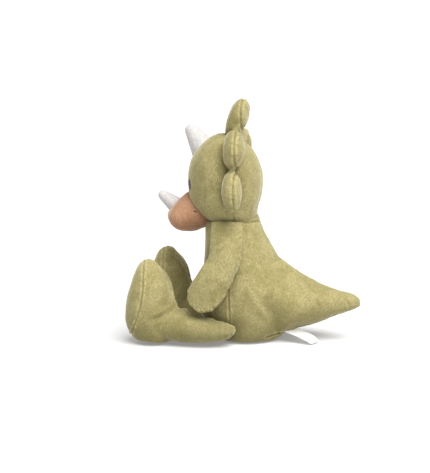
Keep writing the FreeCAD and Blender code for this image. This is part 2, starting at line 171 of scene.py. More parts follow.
# %% [markdown]
# ## Inflating
# A voxel remesh turns the overlapping rough forms into one closed skin with even faces, which the
# cloth solver needs. The Cloth modifier then blows the skin up with the seam lines shrinking a little,
# so the fabric between them domes and the seams draw in. `reach` caps how far any point may move, so
# that the toy keeps its size.

# %% Remesh, inflate and refine
SIM_FRAMES = 20
SEAM_HALF_WIDTH = 1.6 * MM
CLOTH_MASS = 0.3
CLOTH_BENDING = 0.4


def skin_over(piece, voxel, soften):
    """One closed skin over the rough forms. voxel is the size of its faces, soften how often it relaxes."""
    only(piece)
    remesh = piece.modifiers.new("skin", "REMESH")
    remesh.mode = "VOXEL"
    remesh.voxel_size = voxel
    smooth = piece.modifiers.new("soften", "SMOOTH")
    smooth.factor = 0.5
    smooth.iterations = soften
    apply_all(piece)


def points_of(piece):
    data = np.empty(len(piece.data.vertices) * 3)
    piece.data.vertices.foreach_get("co", data)
    return data.reshape(-1, 3)


def normals_of(piece):
    data = np.empty(len(piece.data.vertices) * 3)
    piece.data.vertex_normals.foreach_get("vector", data)
    return data.reshape(-1, 3)


def put_points(piece, points):
    piece.data.vertices.foreach_set("co", points.ravel())
    piece.data.update()


def inflate(piece, seams, pressure=4.0, shrink=0.04, reach=2.5 * MM):
    """Blows the skin up. seams is a list of functions that give each point's distance from a seam."""
    only(piece)
    before = points_of(piece)
    nearest = np.min([seam(before)[0] for seam in seams], axis=0)
    group = piece.vertex_groups.new(name="seam")
    group.add([int(i) for i in np.nonzero(nearest < SEAM_HALF_WIDTH)[0]], 1.0, "REPLACE")
    cloth = piece.modifiers.new("filling", "CLOTH")
    settings = cloth.settings
    settings.quality = 5
    settings.mass = CLOTH_MASS
    settings.bending_stiffness = CLOTH_BENDING
    settings.use_pressure = True
    settings.uniform_pressure_force = pressure
    settings.effector_weights.gravity = 0
    settings.vertex_group_shrink = "seam"
    settings.shrink_min = 0.0
    settings.shrink_max = shrink
    cloth.collision_settings.use_collision = False
    cloth.point_cache.frame_start = 1
    cloth.point_cache.frame_end = SIM_FRAMES
    for step in range(1, SIM_FRAMES + 1):
        bpy.context.scene.frame_set(step)
    bpy.ops.object.modifier_apply(modifier="filling")
    bpy.context.scene.frame_set(1)
    move = points_of(piece) - before
    length = np.linalg.norm(move, axis=1)
    scale = np.minimum(1.0, reach / np.maximum(length, 1e-9))
    put_points(piece, before + move * scale[:, None])
    piece.vertex_groups.remove(piece.vertex_groups["seam"])
    print(piece.name, "inflated, largest move mm", round(float(length.max()) / MM, 2))


def refine(piece, levels=1):
    subsurf = piece.modifiers.new("finer", "SUBSURF")
    subsurf.levels = levels
    subsurf.render_levels = levels
    apply_all(piece)
    bpy.ops.object.shade_smooth()


# %% [markdown]
# ## Sewing
# A seam shows as a narrow valley with the pile standing up along both sides, and the fabric beside it
# gathers into short folds that run away from it at right angles. Each seam is the line where a plane
# or a curved wall cuts the skin. Its function gives every point's distance from that wall, a place
# along the seam for the gathers, and how strongly the seam counts there.

# %% Seam walls
OUT_OF_REACH = 40 * MM


def wall(point, normal, where=None):
    """A flat seam wall. where narrows it to a stretch, as a function from points to 0..1."""
    base = np.array(point)
    unit = np.array(Vector(normal).normalized())

    def seam(points):
        offset = (points - base) @ unit
        strength = np.ones(len(points)) if where is None else where(points)
        distance = np.abs(offset) + (1 - strength) * OUT_OF_REACH
        return distance, points - offset[:, None] * unit, strength
    return seam


def ramp(values, start, end):
    """0 at start, 1 at end, eased at both."""
    share = np.clip((values - start) / (end - start), 0, 1)
    return share * share * (3 - 2 * share)


# %% [markdown]
# Nothing sewn by hand is even. One smooth noise, read at different sizes, bends the seam a little to
# either side, sets the rhythm of the folds beside it and ruffles the pile along it. Every use has its
# own seed, so the toy comes out the same each time.

# %% Unevenness
WANDER_SPACING = 9 * MM
WANDER_WIDTH = 0.7 * MM


def fine_noise(points, size, seed):
    """Smooth noise, about -1 to 1, whose lumps are size across."""
    shift = Vector((seed * 7.31, seed * 3.17, seed * 5.73))
    return np.array([noise.noise(Vector(p) / size + shift) for p in points])


def wander(points, seed):
    """How far a hand-guided seam strays to either side."""
    return fine_noise(points, WANDER_SPACING, seed) * WANDER_WIDTH


# %% [markdown]
# `sew` moves the skin's points along their own normals: down in the valley, up in the folds and along
# the lips. It also writes two attributes that the plush reads later for its colour: "seam", for painted shade
# in the valley, and one for a painted highlight along the lips.

# %% Sew
SEAM_REACH = 14 * MM
VALLEY_WIDTH = 0.9 * MM
LIP_PLACE = 1.9 * MM
FOLD_SPACING = 5.5 * MM
FOLD_START = 1.5 * MM
FOLD_LENGTH = 4.5 * MM
TUFT_SPACING = 1.8 * MM


def sew(piece, seams, depth=0.9 * MM, gather=0.5 * MM, seed=1, pale_edge=1.1 * MM):
    """Pulls the seams in, gathers the fabric beside them and marks the groove for painted shade and its two
    lips for a painted highlight.

    depth is how far a seam is drawn in, gather how high the folds beside it stand, and pale_edge how
    wide the painted highlight on the raised pile on each side of it shows. Each seed gives its own
    wander, folds and tufts.
    """
    points = points_of(piece)
    normals = normals_of(piece)
    valley_and_painted_shade = np.zeros(len(points))
    lips = np.zeros(len(points))
    lift = np.zeros(len(points))
    for number, seam in enumerate(seams):
        distance, along, strength = seam(points)
        near = distance < SEAM_REACH
        distance[near] = np.abs(distance[near] + wander(along[near], seed + number * 2.3))
        folds = np.zeros(len(points))
        folds[near] = fine_noise(along[near], FOLD_SPACING, seed + number * 3.7)
        tufts = np.zeros(len(points))
        tufts[near] = fine_noise(along[near], TUFT_SPACING, seed + number * 5.1)
        # Painted shade: the groove of each seam is marked darker through the "seam" attribute.
        dip = strength * np.exp(-(distance / VALLEY_WIDTH) ** 2)
        valley_and_painted_shade = np.maximum(valley_and_painted_shade, dip * np.clip(0.8 + 0.9 * tufts, 0, 1))
        # Painted highlight: the pile standing up on each side of the seam is marked paler.
        lip_and_painted_highlight = strength * np.exp(-((distance - LIP_PLACE) / pale_edge) ** 2)
        lips = np.maximum(lips, lip_and_painted_highlight * np.clip(0.45 + 1.1 * tufts, 0, 1))
        fade = np.exp(-distance / FOLD_LENGTH) * (1 - np.exp(-(distance / FOLD_START) ** 2))
        lift += folds * fade * gather * 2.2 * strength + (0.35 + 0.5 * tufts) * depth * lip_and_painted_highlight
    put_points(piece, points + normals * (lift - depth * valley_and_painted_shade)[:, None])
    for name, values in (("seam", valley_and_painted_shade), ("lip_and_painted_highlight", lips)):
        mark = piece.data.attributes.new(name, "FLOAT", "POINT")
        mark.data.foreach_set("value", values.astype(np.float32))


# %% [markdown]
# A fold is a valley along a short path, with a soft lip on each side, and shade is painted into it through
# the same "seam" attribute. `shade_near` writes painted shade into that attribute too, where two pieces lie
# close together, and `soften_surface` gives the slow swells of a hand-filled toy.

# %% Folds, corners and swells
def crease(piece, path, depth, width, lips=0.5):
    """Presses a fold into the skin along a path of points, deepest in its middle, and paints shade along it.
    """
    points = points_of(piece)
    normals = normals_of(piece)
    best = np.full(len(points), 1.0)
    place = np.zeros(len(points))
    count = len(path) - 1
    for index in range(count):
        start = np.array(path[index])
        run = np.array(path[index + 1]) - start
        share = np.clip(((points - start) @ run) / (run @ run), 0, 1)
        distance = np.linalg.norm(points - start - share[:, None] * run, axis=1)
        closer = distance < best
        best[closer] = distance[closer]
        place[closer] = (index + share[closer]) / count
    taper = np.sin(np.pi * np.clip(place, 0.02, 0.98)) ** 0.6
    profile = -np.exp(-(best / width) ** 2) + lips * np.exp(-((best - 2.1 * width) / (1.1 * width)) ** 2)
    points += normals * (profile * taper * depth)[:, None]
    put_points(piece, points)
    # Painted shade along the fold's middle, written into the "seam" attribute.
    mark = piece.data.attributes["seam"]
    shade = np.empty(len(points), dtype=np.float32)
    mark.data.foreach_get("value", shade)
    painted_fold_shade = 0.45 * min(1.0, depth / (1.5 * MM)) * taper * np.exp(-(best / (0.7 * width)) ** 2)
    mark.data.foreach_set("value", np.maximum(shade, painted_fold_shade).astype(np.float32))


def shade_near(piece, other, reach, amount):
    """Paints shade on the pile where the piece lies against another, as a contact shadow in a tight corner.
    """
    points = points_of(piece)
    mark = piece.data.attributes["seam"]
    shade = np.empty(len(points), dtype=np.float32)
    mark.data.foreach_get("value", shade)
    for index, (x, y, z) in enumerate(points):
        found, place, _, _ = other.closest_point_on_mesh((abs(x), y, z), distance=2.2 * reach)
        if found:
            gap = (place - Vector((abs(x), y, z))).length
            shade[index] = max(shade[index], amount * math.exp(-(gap / reach) ** 2))
    mark.data.foreach_set("value", shade)


def soften_surface(piece, size, height, seed):
    """Slow swells, size across and height high, as the filling leaves them."""
    points = points_of(piece)
    swell = fine_noise(points, size, seed) * height
    put_points(piece, points + normals_of(piece) * swell[:, None])


# %% [markdown]
# ## Plush fabric
# Short plush is a mat of fine upright fibres. Seen straight on it is soft and matt, and where the
# surface turns away the fibre tips catch the light, which Sheen gives. Brushing leaves patches that
# lean different ways and so look lighter or darker: a slow noise mixes two tones of the same dye. A
# fine noise stands for the pile itself, in colour and as a bump.

# %% Node helpers
def fresh_material(name):
    material = bpy.data.materials.new(name)
    material.use_nodes = True
    return material, material.node_tree.nodes, material.node_tree.links


def mapped(nodes, links, scale=(1, 1, 1)):
    coordinates = nodes.new("ShaderNodeTexCoord")
    mapping = nodes.new("ShaderNodeMapping")
    mapping.inputs["Scale"].default_value = scale
    links.new(coordinates.outputs["Object"], mapping.inputs["Vector"])
    return mapping.outputs["Vector"]


def noise_node(nodes, links, vector, scale, detail, rough=0.5, distortion=0.0):
    node = nodes.new("ShaderNodeTexNoise")
    node.inputs["Scale"].default_value = scale
    node.inputs["Detail"].default_value = detail
    node.inputs["Roughness"].default_value = rough
    node.inputs["Distortion"].default_value = distortion
    links.new(vector, node.inputs["Vector"])
    return node.outputs["Fac"]


def spread(nodes, links, value, low, high):
    node = nodes.new("ShaderNodeMapRange")
    node.interpolation_type = "SMOOTHSTEP"
    node.inputs["From Min"].default_value = low
    node.inputs["From Max"].default_value = high
    links.new(value, node.inputs["Value"])
    return node.outputs["Result"]


# A Mix node has one set of sockets for each kind of value; 6 and 7 are its two colours.
def colour_mix(nodes, links, factor, first, second, amount=1.0):
    node = nodes.new("ShaderNodeMix")
    node.data_type = "RGBA"
    if amount < 1.0:
        scale = nodes.new("ShaderNodeMath")
        scale.operation = "MULTIPLY"
        scale.inputs[1].default_value = amount
        links.new(factor, scale.inputs[0])
        factor = scale.outputs[0]
    links.new(factor, node.inputs[0])
    for value, socket in ((first, node.inputs[6]), (second, node.inputs[7])):
        if isinstance(value, tuple):
            socket.default_value = (*value, 1)
        else:
            links.new(value, socket)
    return node.outputs[2]


# %% [markdown]
# The plush is built from the largest pattern to the smallest: patches of brushed nap some 20 mm across,
# strokes of a few millimetres, tufts of two, and single fibres of about one. Then come painted shade low
# down and in the seams, and a painted highlight on the pale pile that stands up along them.

# %% Plush
# Noise lumps to a metre, from the largest pattern to the smallest.
PATCH_SCALE = 46
STROKE_SCALE = 190
TUFT_SCALE = 420
FIBRE_SCALE = 900
TUFT_HEIGHT = 0.6 * MM
FIBRE_HEIGHT = 0.35 * MM
SHADE_TOP = 52 * MM
SHADE_BOTTOM = -6 * MM


def times(colour, share):
    return tuple(share * value for value in colour)


def plush(name, deep, pale, glow, pile=1.0):
    """deep is the dye seen down between the fibres, pale the brushed side, glow the lit fibre tips."""
    material, nodes, links = fresh_material(name)
    shader = nodes["Principled BSDF"]
    even = mapped(nodes, links)
    combed = mapped(nodes, links, (1.0, 1.0, 0.5))
    patch_noise = noise_node(nodes, links, even, PATCH_SCALE, 3, 0.55, 0.8)
    patches = spread(nodes, links, patch_noise, 0.36, 0.62)
    stroke_noise = noise_node(nodes, links, combed, STROKE_SCALE, 3, 0.6, 0.6)
    strokes = spread(nodes, links, stroke_noise, 0.36, 0.66)
    fibres = noise_node(nodes, links, combed, FIBRE_SCALE, 3, 0.65)
    tufts = noise_node(nodes, links, even, TUFT_SCALE, 3, 0.6)
    between = tuple(0.4 * p + 0.6 * d for p, d in zip(pale, deep))
    colour = colour_mix(nodes, links, patches, between, pale)
    colour = colour_mix(nodes, links, strokes, colour, times(pale, 1.15), 0.3)
    gaps = spread(nodes, links, tufts, 0.62, 0.38)
    colour = colour_mix(nodes, links, gaps, colour, deep, 0.32)
    # Painted shade: the colour darkens towards the bottom, from SHADE_TOP down to SHADE_BOTTOM.
    height = nodes.new("ShaderNodeSeparateXYZ")
    links.new(even, height.inputs["Vector"])
    low = spread(nodes, links, height.outputs["Z"], SHADE_TOP, SHADE_BOTTOM)
    colour = colour_mix(nodes, links, low, colour, times(deep, 0.5), 0.62)
    grain = spread(nodes, links, fibres, 0.62, 0.36)
    colour = colour_mix(nodes, links, grain, colour, times(deep, 0.62), 0.42)
    # Painted shade in the seams, folds and tight corners, read from the "seam" attribute.
    valley_and_painted_shade = nodes.new("ShaderNodeAttribute")
    valley_and_painted_shade.attribute_name = "seam"
    colour = colour_mix(nodes, links, valley_and_painted_shade.outputs["Fac"], colour, times(deep, 0.4), 0.5)
    # Painted highlight along the seams, on the pile that stands up beside them.
    lip_and_painted_highlight = nodes.new("ShaderNodeAttribute")
    lip_and_painted_highlight.attribute_name = "lip_and_painted_highlight"
    colour = colour_mix(nodes, links, lip_and_painted_highlight.outputs["Fac"], colour, times(pale, 1.4), 0.7)
    links.new(colour, shader.inputs["Base Color"])
    shader.inputs["Roughness"].default_value = 0.95
    shader.inputs["Specular IOR Level"].default_value = 0.12
    shader.inputs["Sheen Weight"].default_value = 0.6
    shader.inputs["Sheen Roughness"].default_value = 0.38
    shader.inputs["Sheen Tint"].default_value = (*glow, 1)
    coarse = nodes.new("ShaderNodeBump")
    coarse.inputs["Strength"].default_value = 0.5
    coarse.inputs["Distance"].default_value = TUFT_HEIGHT * pile
    links.new(tufts, coarse.inputs["Height"])
    fine = nodes.new("ShaderNodeBump")
    fine.inputs["Strength"].default_value = 0.7
    fine.inputs["Distance"].default_value = FIBRE_HEIGHT * pile
    links.new(fibres, fine.inputs["Height"])
    links.new(coarse.outputs["Normal"], fine.inputs["Normal"])
    links.new(fine.outputs["Normal"], shader.inputs["Normal"])
    return material


# %% [markdown]
# Three dyes. The green shows olive down between the fibres and straw where it is brushed. The horns'
# pile is half as high, so they look smoother.

# %% The three plushes
green_plush = plush("green_plush", (0.212, 0.184, 0.066), (0.375, 0.328, 0.156), (0.90, 0.85, 0.64))
peach_plush = plush("peach_plush", (0.36, 0.175, 0.092), (0.455, 0.265, 0.160), (0.95, 0.82, 0.70))
white_plush = plush("white_plush", (0.50, 0.475, 0.455), (0.57, 0.555, 0.54), (0.97, 0.96, 0.94), 0.5)


def dress(piece, material):
    piece.data.materials.clear()
    piece.data.materials.append(material)


# %% [markdown]
# ## Body and tail
# Two side panels run from the neck to the tail tip and meet in a seam along the back. A belly panel
# closes the front, and a narrow panel goes on under the seat and the tail. The rough form is an upright
# stack of ovals for the pear-shaped body and a lying stack for the tail. The remesh joins them, and the
# softening gives the smooth hollow line from the back of the neck down to the tail.

# %% Body form
def build_body():
    upright = [ring(*row) for row in (
        # height, front, back, half width
        (0, -33, 33, 33), (3.5, -40, 37, 39), (8, -44, 40, 42), (25, -49.5, 45, 45.5), (50, -48, 43, 45),
        (70, -45.4, 35, 41.5), (80, -44.8, 28.5, 39), (92, -44.3, 21, 36), (104, -44, 14, 33),
        (116, -43.5, 9.5, 30), (122, -42, 8, 28), (127, -38, 5, 25), (131, -30, -2, 16))]
    body = stack_rings("body", upright)
    backward = [hoop(*row) for row in (
        # place, top, bottom, half width
        (23, 83, 2.5, 37.5), (32.5, 77.5, 3, 37), (40.5, 71, 4.5, 35), (47, 67, 7.5, 32.5),
        (53.5, 63.7, 9.5, 30), (62, 60.3, 11.8, 27), (73.4, 56.8, 16.3, 23), (84, 53.3, 21, 18.8),
        (95, 49.8, 26, 14), (103, 47, 29.5, 10), (109, 44.5, 32.5, 6.5), (113, 42, 35, 3.5))]
    end = stack_rings("tail_form", backward, lying=True)
    body = joined("body", [body, end])
    skin_over(body, 2.2 * MM, 9)
    return body


# %% [markdown]
# Four seams: along the back, down the sides at the belly panel, round the narrow panel underneath, and
# round the neck, where the head is sewn on.

# %% Body seams
def body_seams():
    back = wall((0, 0, 0), (1, 0, 0), lambda p: ramp(p[:, 1], 0, 12 * MM) * ramp(p[:, 2], 12 * MM, 22 * MM))
    belly = wall((0, -11 * MM, 0), (0, 1, 0.05), lambda p: ramp(p[:, 2], 4 * MM, 10 * MM))
    under = wall((0, 39 * MM, 9.5 * MM), (0, -0.2, 1),
                 lambda p: ramp(p[:, 1], 8 * MM, 22 * MM) * ramp(-p[:, 1], -70 * MM, -60 * MM))
    # The neck seam's groove also carries painted shade below the head, besides drawing the seam in.
    neck = wall((0, 0, 117.5 * MM), (0, 0, 1))
    return [back, belly, under, neck]


body = build_body()
seams = body_seams()
inflate(body, seams, pressure=3.0, shrink=0.02, reach=1.8 * MM)
refine(body)
soften_surface(body, 26 * MM, 0.9 * MM, 3)
sew(body, seams, depth=0.8 * MM, gather=0.45 * MM, seed=11, pale_edge=0.6 * MM)
dress(body, green_plush)
print("body faces", len(body.data.polygons))


# %% [markdown]
# ## Folds in the body
# Where the tail leaves the body the fabric is pushed together and folds. The folds are short paths
# pressed into the skin, deepest in the middle, with a soft lip on each side.

# %% Body folds
for side in (1, -1):
    for depth, width, path in (
            (2.2, 2.2, ((22, 58, 63), (27, 68, 50), (24, 73, 36))),
            (1.2, 2.2, ((30, 50, 60), (33, 56, 42))),
            (1.0, 1.6, ((10, 95, 47), (11, 99, 40), (9, 102, 33))),
            (0.8, 3.2, ((43, 12, 30), (41, 28, 20), (31, 42, 14))),
            (0.7, 3.0, ((32, 2, 112), (30, 14, 100), (24, 26, 88))),
            (0.6, 3.0, ((42, 6, 62), (42, 16, 50), (40, 24, 34)))):
        crease(body, [at_mm(side * x, y, z) for x, y, z in path], depth * MM, width * MM)


# %% [markdown]
# ## Legs
# A leg is a thigh that lies on the floor and a boot-shaped foot that stands up at its end, closed in
# front by an oval sole panel. The left leg is modelled and the right one is its mirrored copy, with a
# mesh of its own.

# %% Leg form
hip = Vector(joint["leg_left_splay"]["pos_m"])


def build_leg():
    hip_x = hip.x / MM
    foot_x = leg.middle.x / MM
    thigh_rings = []
    for y, top, bottom, half_width in (
            (-4.6, 17.5, 14.5, 6), (-6, 19, 11, 9), (-9, 20.5, 8.5, 11.5), (-15, 23, 5.5, 14.5),
            (-22, 25, 3.5, 16.5), (-32, 27, 2, 18), (-42, 29, 1.2, 19), (-54, 32.5, 0.9, 19.5),
            (-66, 34.5, 0.9, 19.5), (-80, 34, 0.9, 19), (-92, 28, 2.5, 16)):
        share = (y + 9) / -79
        thigh_rings.append(hoop(y, top, bottom, half_width, hip_x + share * (foot_x - hip_x)))
    thigh = stack_rings("thigh_form", thigh_rings, lying=True)
    foot = stack_rings("foot_form", [ring(*row, foot_x) for row in (
        (0.6, -97, -70, 13), (3.5, -105, -67, 18), (10, -111.5, -65, 21.5), (25, -116.5, -64.5, 24),
        (38, -116, -66.5, 24.5), (50, -113.5, -69, 24.5), (58, -111, -70.5, 24), (67, -107.5, -74, 22.5),
        (74, -103.8, -79, 19), (79, -100.3, -83.5, 14.5), (82, -97, -87, 9), (83.5, -94.5, -90, 4))])
    whole = joined("leg_left", [thigh, foot])
    skin_over(whole, 1.9 * MM, 4)
    return whole


# %% [markdown]
# The sole is an oval panel that closes the foot in front. A second seam joins the inner and the outer
# panel. It runs along the middle of the leg, from the sole over the instep to the hip and back underneath.

# %% Leg seams
def leg_seams():
    """The sole's seam is furthest back high on the foot. The other seam stops where it meets the sole."""
    def sole(points):
        height = points[:, 2] / MM
        line = (-92.5 - 0.0055 * (height - 62) ** 2) * MM
        offset = points[:, 1] - line
        along = points.copy()
        along[:, 1] = 0
        return np.abs(offset), along, np.ones(len(points))
    ridge = wall((leg.middle.x, 0, 0), (1, 0, 0), lambda p: ramp(p[:, 1], -93 * MM, -90 * MM))
    return [sole, ridge]


leg_left = build_leg()
seams = leg_seams()
inflate(leg_left, seams, pressure=3.0, shrink=0.05, reach=1.6 * MM)
refine(leg_left)
soften_surface(leg_left, 20 * MM, 0.8 * MM, 5)
sew(leg_left, seams, depth=1.2 * MM, gather=0.75 * MM, seed=21)
dress(leg_left, green_plush)
print("leg faces", len(leg_left.data.polygons))


# %% [markdown]
# The ankle folds where the foot bends up, and small folds gather towards the pinched hip.

# %% Leg folds
for depth, width, path in (
        (1.8, 2.4, ((52, -61, 36), (62, -72, 31), (64, -86, 26))),
        (1.4, 2.6, ((30, -61, 36), (44, -59, 37), (52, -61, 36))),
        (1.0, 3.0, ((63, -98, 45), (66, -92, 52))),
        (0.9, 2.0, ((60, -30, 26), (63, -32, 12))),
        (1.0, 1.8, ((56, -20, 24), (61, -21, 12))),
        (1.1, 1.7, ((54, -14, 22), (59, -15, 10))),
        (1.0, 1.5, ((52, -9, 20), (56, -10, 11)))):
    crease(leg_left, [at_mm(*point) for point in path], depth * MM, width * MM)


# %% [markdown]
# A mirrored copy is a full duplicate scaled by -1 across the middle. That turns its faces inside out, so
# they are made to face outwards again.

# %% Mirrored copies
def mirrored_copy(piece, name):
    only(piece)
    bpy.ops.object.duplicate(linked=False)
    other = bpy.context.object
    other.name = name
    bpy.ops.object.mode_set(mode="EDIT")
    bpy.ops.mesh.select_all(action="SELECT")
    bpy.ops.transform.resize(value=(-1, 1, 1), center_override=(0, 0, 0))
    bpy.ops.mesh.normals_make_consistent(inside=False)
    bpy.ops.object.mode_set(mode="OBJECT")
    return other


# Painted shade on the leg where it lies against the body.
shade_near(leg_left, body, 4 * MM, 0.7)
leg_right = mirrored_copy(leg_left, "leg_right")


# %% [markdown]
# ## Arms
# An arm is two flat panels sewn round the edge and filled, with a straight open top that is sewn into
# the shoulder seam. It hangs from that seam, widens, and bends forward at the paw. Its rings are flat
# ovals whose plane turns with the bend.

# %% Arm form
ARM_SIDES = 40
ARM_SEAM_RISE = 0.003
shoulder = Vector(joint["arm_left_lift"]["pos_m"])


def build_arm():
    bpy.ops.object.select_all(action="DESELECT")
    length = arm.high.z - arm.low.z
    top = Vector((shoulder.x, shoulder.y, arm.high.z + ARM_SEAM_RISE))
    # share of the length, forward, outward, half width, half thickness, forward tilt in degrees
    stations = (
        (-0.045, 0.0, 0.0, 16.2, 1.9, 0), (0.00, 0.0, 1.5, 16.2, 3.0, 0), (0.09, -0.4, 5.5, 16.3, 5.4, 0),
        (0.22, -0.6, 10.0, 16.5, 7.8, 2), (0.40, 1.0, 15.0, 16.8, 8.8, 12), (0.59, 8.0, 19.2, 18.0, 9.2, 27),
        (0.77, 17.0, 21.8, 18.6, 8.9, 36), (0.89, 24.0, 22.8, 15.4, 7.4, 38),
        (0.955, 27.5, 23.2, 10.5, 5.2, 38), (0.985, 29.0, 23.4, 5.5, 3.0, 38))
    share, forward, outward, wide, thick, tilt = stations[0]
    centre = top + Vector((outward * MM, 0, -share * length))
    bpy.ops.mesh.primitive_circle_add(vertices=ARM_SIDES, radius=1, fill_type="NGON", location=centre)
    piece = bpy.context.object
    piece.name = "arm_left"
    settle(piece)
    bpy.ops.object.mode_set(mode="EDIT")
    bpy.ops.mesh.select_all(action="SELECT")
    bpy.ops.transform.resize(value=(thick * MM, wide * MM, 1), center_override=centre)
    for next_share, forward, outward, next_wide, next_thick, next_tilt in stations[1:]:
        next_centre = top + Vector((outward * MM, -forward * MM, -next_share * length))
        bpy.ops.mesh.extrude_region_move(TRANSFORM_OT_translate={"value": next_centre - centre})
        # levelled first, so that resizing acts along the oval's own two axes
        bpy.ops.transform.rotate(value=math.radians(-tilt), orient_axis="X", center_override=next_centre)
        shape = (next_thick / thick, next_wide / wide, 1)
        bpy.ops.transform.resize(value=shape, center_override=next_centre)
        bpy.ops.transform.rotate(value=math.radians(next_tilt), orient_axis="X", center_override=next_centre)
        centre, wide, thick, tilt = next_centre, next_wide, next_thick, next_tilt
    bpy.ops.mesh.select_all(action="SELECT")
    bpy.ops.mesh.normals_make_consistent(inside=False)
    bpy.ops.object.mode_set(mode="OBJECT")
    skin_over(piece, 1.8 * MM, 4)
    return piece


# %% [markdown]
# The edge seam lies in a sloping plane, since the arm stands off from the body below the shoulder. It
# fades out near the top, where the arm is sewn flat to the body. Its painted highlight on the pale pile is
# wide, because the edge of a flat arm catches the light.

# %% Arm seam
def arm_seams():
    top = arm.high.z
    return [wall((shoulder.x + 3 * MM, 0, top), (1, 0, 0.27), lambda p: ramp(-p[:, 2], -top, -top + 12 * MM))]


arm_left = build_arm()
seams = arm_seams()
inflate(arm_left, seams, pressure=4.0, shrink=0.06, reach=1.8 * MM)
refine(arm_left)
soften_surface(arm_left, 18 * MM, 0.7 * MM, 9)
sew(arm_left, seams, depth=1.1 * MM, gather=0.7 * MM, seed=31, pale_edge=2.4 * MM)
dress(arm_left, green_plush)
arm_right = mirrored_copy(arm_left, "arm_right")
print("arm faces", len(arm_left.data.polygons))


# %% [markdown]
# ## Head
# The head has two face panels and two back panels. Their side seam is upright and also holds the
# frill. The form is a stack of level ovals, widest at the cheeks and cut off below by the neck.

# %% Head form
frill_y = frill.middle.y


def build_head():
    piece = stack_rings("head", [ring(*row) for row in (
        # height, front, back, half width
        (116, -36, 5, 24), (118.5, -41, 8, 30), (123, -47.5, 9, 35.5), (130, -54, 9.7, 40),
        (138, -58.5, 12, 43), (146, -60, 13.3, 44), (155, -60.8, 14.2, 44.8), (163, -60.2, 13.8, 45),
        (171, -58.8, 11.5, 43.8), (178, -57, 8.8, 41.5), (184, -53.8, 5.5, 38), (190, -49.8, 1.5, 33),
        (196, -44, -4, 26.5), (200, -38, -11, 18.5), (202.5, -32, -18, 9), (203.3, -28.5, -22, 4))])
    skin_over(piece, 2.1 * MM, 3)
    return piece


def head_seams():
    """The side seam at the frill, and the middle seam between the left and right panels."""
    side = wall((0, frill_y, 0), (0, 1, 0))
    middle = wall((0, 0, 0), (1, 0, 0), lambda p: ramp(p[:, 2], 122 * MM, 132 * MM))
    return [side, middle]


head_piece = build_head()
seams = head_seams()
inflate(head_piece, seams, pressure=3.0, shrink=0.02, reach=1.5 * MM)
refine(head_piece)
soften_surface(head_piece, 24 * MM, 0.7 * MM, 13)
sew(head_piece, seams, depth=0.9 * MM, gather=0.5 * MM, seed=41)
dress(head_piece, green_plush)
print("head faces", len(head_piece.data.polygons))


# %% [markdown]
# ## Muzzle
# One round cap of peach fabric, sewn to the face. It is a lying stack of ovals that starts inside the
# head and ends in a blunt front.

# %% Muzzle form
MUZZLE_TILT = math.radians(25)


def build_muzzle():
    """Stacked lying down and straight ahead, and then tipped so that the nose end points down."""
    stations = (
        # forward, middle, half height, half width
        (-22, 1.5, 16.5, 19), (-13, 2, 20, 23.5), (-5, 2.1, 19.8, 25.5), (2, 1.5, 18.3, 26.3),
        (9, 1.3, 16.1, 25.5), (14, 1.6, 13.6, 23), (18, 2.6, 11, 18.8), (20.8, 3.8, 8, 13),
        (22.3, 4.8, 4.4, 7))
    rings = [hoop(-forward, middle + half, middle - half, half_width)
             for forward, middle, half, half_width in stations]
    piece = stack_rings("muzzle", rings, lying=True)
    piece.matrix_world = (Matrix.Translation(at_mm(0, -58, 122)) @ Matrix.Rotation(MUZZLE_TILT, 4, "X"))
    settle(piece)
    skin_over(piece, 1.6 * MM, 3)
    return piece


muzzle_piece = build_muzzle()
refine(muzzle_piece)
soften_surface(muzzle_piece, 15 * MM, 0.7 * MM, 17)
sew(muzzle_piece, [wall((0, 0, 0), (1, 0, 0), lambda p: ramp(-p[:, 2], -116 * MM, -110 * MM))],
    depth=0.7 * MM, gather=0.4 * MM, seed=51)
dress(muzzle_piece, peach_plush)
print("muzzle faces", len(muzzle_piece.data.polygons))


# %% [markdown]
# ## Horns
# Both horns are stuffed cones of white fabric with a round tip and one seam down the back, sewn down
# round their base, which draws the base in a little. A stack of circles is built upright at the origin
# and then turned and moved to its place on the head.

# %% Horn form
def build_horn(name, base_point, tip_point, base_radius, tip_radius, seed):
    """The root goes 22 % of the length into the head; the tip is a dome a little flatter than a ball."""
    axis = tip_point - base_point
    length = axis.length
    root = -0.22 * length
    rings = [(Vector((0, 0, root)), base_radius * 0.80, base_radius * 0.80),
             (Vector((0, 0, -0.02 * length)), base_radius * 0.93, base_radius * 0.93),
             (Vector((0, 0, 0.08 * length)), base_radius * 0.97, base_radius * 0.97)]
    cone_top = length - 0.8 * tip_radius
    for share in (0.25, 0.5, 0.75, 1.0):
        radius = base_radius + (tip_radius - base_radius) * share
        rings.append((Vector((0, 0, share * cone_top)), radius, radius))
    for angle in (35, 62, 82):
        turn = math.radians(angle)
        radius = tip_radius * math.cos(turn)
        rings.append((Vector((0, 0, cone_top + tip_radius * 0.8 * math.sin(turn))), radius, radius))
    piece = stack_rings(name, rings)
    skin_over(piece, 1.2 * MM, 3)
    refine(piece)
    soften_surface(piece, 9 * MM, 0.45 * MM, seed)
    piece.matrix_world = Matrix.Translation(base_point) @ axis.to_track_quat("Z", "Y").to_matrix().to_4x4()
    settle(piece)
    sew(piece, [wall((0, 0, 0), (1, 0, 0), lambda p: ramp(p[:, 1], base_point.y, base_point.y + 0.004))],
        depth=0.5 * MM, gather=0.3 * MM, seed=seed)
    dress(piece, white_plush)
    return piece


brow_horn = build_horn("brow_horn", at_mm(0, -44.5, 186.5), at_mm(0, -61.3, 211.3),
                       13.8 * MM, 6.4 * MM, 61)
nose_horn = build_horn("nose_horn", at_mm(0, -73.2, 130.5), at_mm(0, -91, 143.8),
                       8.9 * MM, 4.7 * MM, 67)
print("horn faces", len(brow_horn.data.polygons), len(nose_horn.data.polygons))


